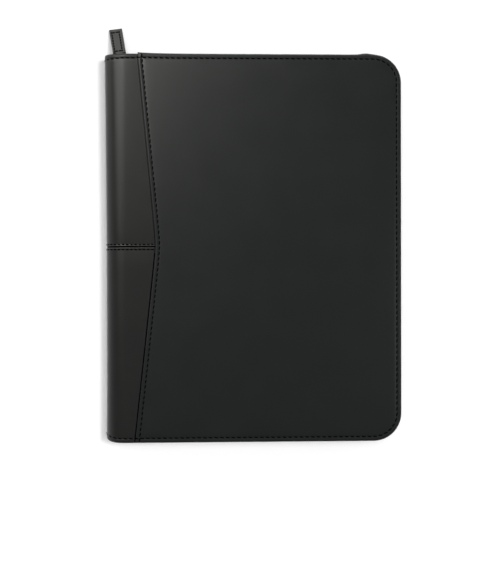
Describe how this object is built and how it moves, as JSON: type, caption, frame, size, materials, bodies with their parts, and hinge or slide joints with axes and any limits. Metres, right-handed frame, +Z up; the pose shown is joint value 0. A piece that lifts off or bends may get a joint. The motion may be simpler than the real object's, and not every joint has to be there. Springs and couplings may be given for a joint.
{
  "type": "zippered padfolio",
  "caption": "Flat zip-round document folio with padded leatherette covers hinged on a half-round spine, a coil zip with slider and strap pull, and a writing pad inside.",
  "frame": {"origin": "centre of the back cover's flat resting face, with the case closed", "axes": "+X to the fore edge, +Y along the spine to the edge with the pull tab, +Z up out of the front cover"},
  "size_m": [0.25, 0.3531, 0.024],
  "materials": {
    "panel_leather": "smooth black coated leatherette, semi-matt",
    "wrap_leather": "soft black coated leatherette, satin",
    "pull_leather": "black coated leatherette strap",
    "foam": "thin padding",
    "greyboard": "bookbinding board",
    "lining_cloth": "black woven lining",
    "pocket_leather": "black leatherette",
    "pad_paper": "ruled writing paper",
    "pad_card": "brown card",
    "pad_binding_strip": "coated paper strip",
    "elastic": "black woven elastic",
    "zip_tape": "black woven polyester tape",
    "zip_nylon": "black nylon coil",
    "zip_metal": "dark die-cast zinc"
  },
  "bodies": {
    "back_cover": {"back_panel": "panel_leather", "back_wrap_upper": "wrap_leather", "back_wrap_lower": "wrap_leather", "back_foam": "foam", "back_board": "greyboard", "back_lining": "lining_cloth", "pad_sleeve": "pocket_leather", "pad_backing": "pad_card", "pad_sheets": "pad_paper", "pad_binding": "pad_binding_strip", "pen_loop": "elastic", "zip_tape_back": "zip_tape", "zip_coil_back": "zip_nylon", "zip_stop_back": "zip_metal"},
    "spine": {"spine_wrap_upper": "wrap_leather", "spine_wrap_lower": "wrap_leather", "spine_stiffener": "greyboard", "spine_lining": "lining_cloth"},
    "front_cover": {"front_panel": "panel_leather", "front_wrap_upper": "wrap_leather", "front_wrap_lower": "wrap_leather", "front_foam": "foam", "front_board": "greyboard", "front_lining": "lining_cloth", "document_pocket": "pocket_leather", "card_pocket_1": "pocket_leather", "card_pocket_2": "pocket_leather", "card_pocket_3": "pocket_leather", "zip_tape_front": "zip_tape", "zip_coil_front": "zip_nylon", "zip_stop_front": "zip_metal"},
    "zip_slider": {"slider_body": "zip_metal"},
    "pull": {"pull_tab": "pull_leather"}
  },
  "joints": [
    {"name": "spine_fold", "type": "hinge", "parent": "back_cover", "child": "spine", "pos_m": [-0.12253, 0, 0.00297], "axis": [0, -1, 0], "range_deg": [0, 90]},
    {"name": "cover_fold", "type": "hinge", "parent": "spine", "child": "front_cover", "pos_m": [-0.12253, 0, 0.02103], "axis": [0, -1, 0], "range_deg": [0, 90]},
    {"name": "zip_slide", "type": "slide", "parent": "back_cover", "child": "zip_slider", "axis": [1, 0, 0], "range_m": [0, 0.204]},
    {"name": "pull_swing", "type": "hinge", "parent": "zip_slider", "child": "pull", "pos_m": [-0.114, 0.16435, 0.012], "axis": [1, 0, 0], "range_deg": [0, 108]}
  ]
}
